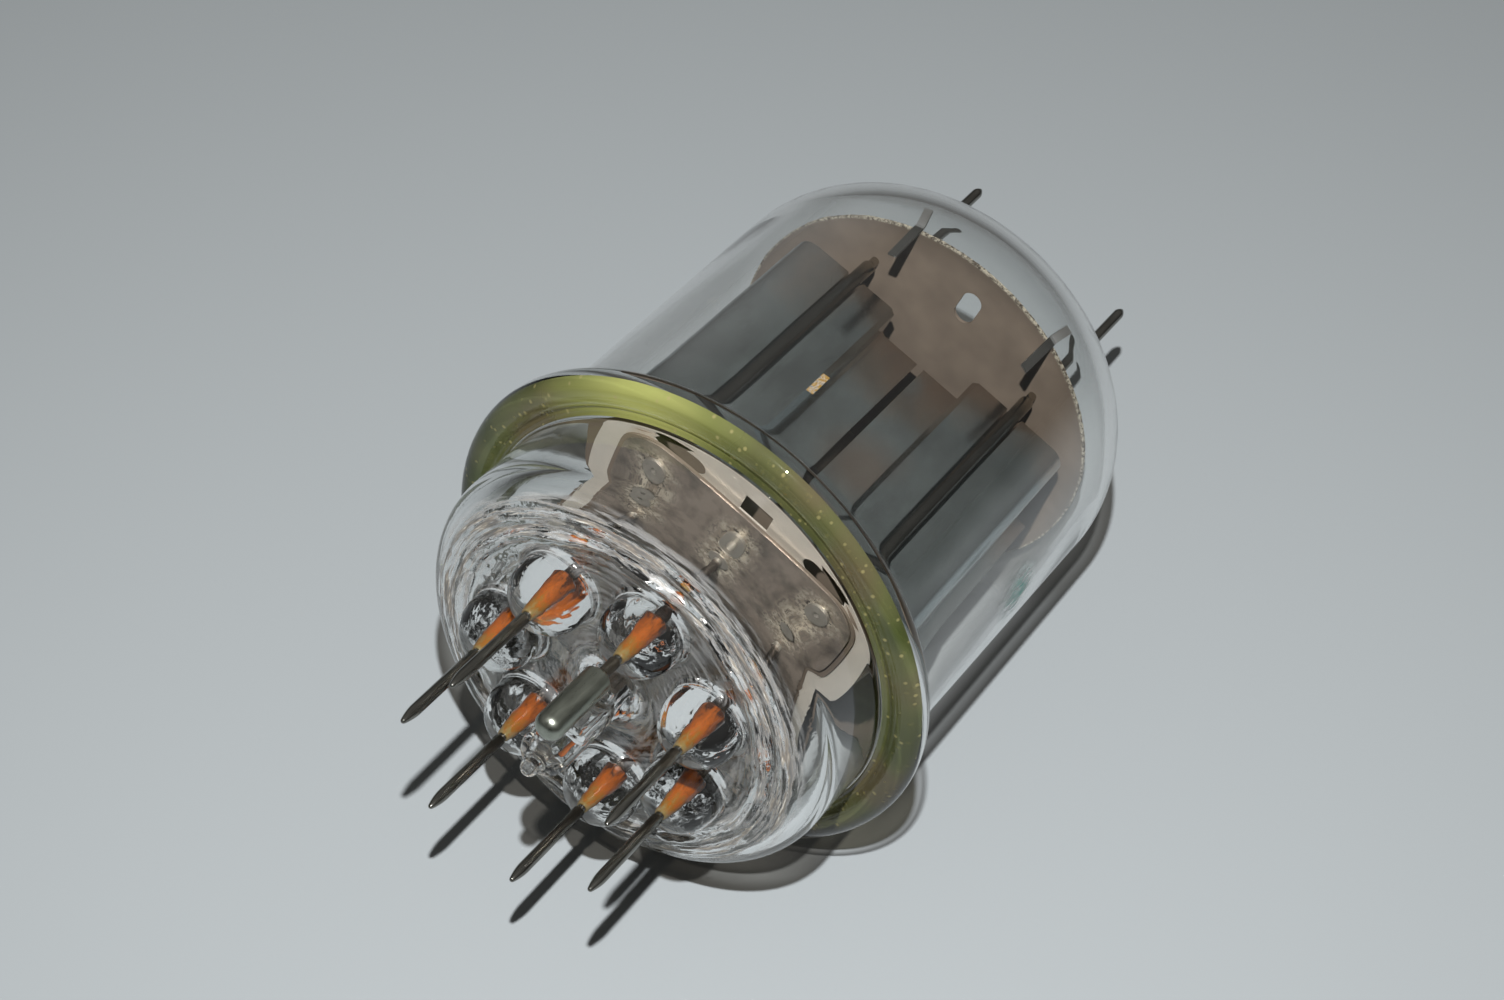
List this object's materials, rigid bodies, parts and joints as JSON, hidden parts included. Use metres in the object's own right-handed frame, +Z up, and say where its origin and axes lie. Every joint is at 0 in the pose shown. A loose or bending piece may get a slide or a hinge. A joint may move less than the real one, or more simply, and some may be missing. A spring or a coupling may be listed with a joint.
{
  "type": "twin tetrode tube",
  "caption": "Glass twin beam tetrode for pulse and radio use, with a fused flange, base pins in glass domes, an index sleeve and anode pins through its dome.",
  "frame": {"origin": "on the floor below the middle of the tube's bounding box, as it lies", "axes": "+Y along the tube as it lies, from the base pins to the anode pins; +Z up; the tube rests on its flange and its shoulder, so its own axis leans 4.4 degrees down towards the anode pins"},
  "size_m": [0.0584, 0.11, 0.0582],
  "materials": {
    "clear_glass": "clear blown glass",
    "seal_glass": "clear olive green sealing glass",
    "oxide_seal": "amber oxide under glass",
    "pin_metal": "dull dark grey",
    "sleeve_metal": "satin grey",
    "anode_metal": "smooth satin slate grey",
    "rod_metal": "smooth dark grey",
    "oxide_white": "matt white oxide",
    "grid_wire": "drawn wire",
    "deck_nickel": "brownish grey satin nickel",
    "mica": "split mica",
    "spring_steel": "dark spring strip",
    "getter_metal": "fired dark metal",
    "nickel": "satin nickel"
  },
  "bodies": {
    "root": {"bulb": "clear_glass", "seal_ring": "seal_glass", "base_dish": "clear_glass", "index_pin": "pin_metal", "index_sleeve": "sleeve_metal", "base_pin_1": "pin_metal", "base_pin_2": "pin_metal", "base_pin_3": "pin_metal", "base_pin_4": "pin_metal", "base_pin_5": "pin_metal", "base_pin_6": "pin_metal", "pin_seals": "oxide_seal", "anode_pin_left": "pin_metal", "anode_pin_right": "pin_metal", "anode_seal_left": "oxide_seal", "anode_seal_right": "oxide_seal", "anode_front_left": "anode_metal", "anode_front_right": "anode_metal", "anode_back_left": "anode_metal", "anode_back_right": "anode_metal", "anode_rods_left": "rod_metal", "anode_rods_right": "rod_metal", "anode_strap_left": "nickel", "anode_strap_right": "nickel", "anode_lead_left": "nickel", "anode_lead_right": "nickel", "cathode_left": "oxide_white", "cathode_right": "oxide_white", "heater_left": "oxide_white", "heater_right": "oxide_white", "control_grid_left": "grid_wire", "control_grid_right": "grid_wire", "screen_grid_left": "grid_wire", "screen_grid_right": "grid_wire", "beam_plates_left": "nickel", "beam_plates_right": "nickel", "top_disc": "mica", "snubber_front_left": "spring_steel", "snubber_front_right": "spring_steel", "snubber_back_left": "spring_steel", "snubber_back_right": "spring_steel", "getter": "getter_metal", "cage_mica": "mica", "lower_shield": "deck_nickel", "deck_mica": "mica", "capacitor_plate": "deck_nickel", "deck_eyelets": "nickel", "index_lead": "nickel", "base_lead_1": "nickel", "base_lead_2": "nickel", "base_lead_3": "nickel", "base_lead_4": "nickel", "base_lead_5": "nickel", "base_lead_6": "nickel"}
  },
  "joints": []
}
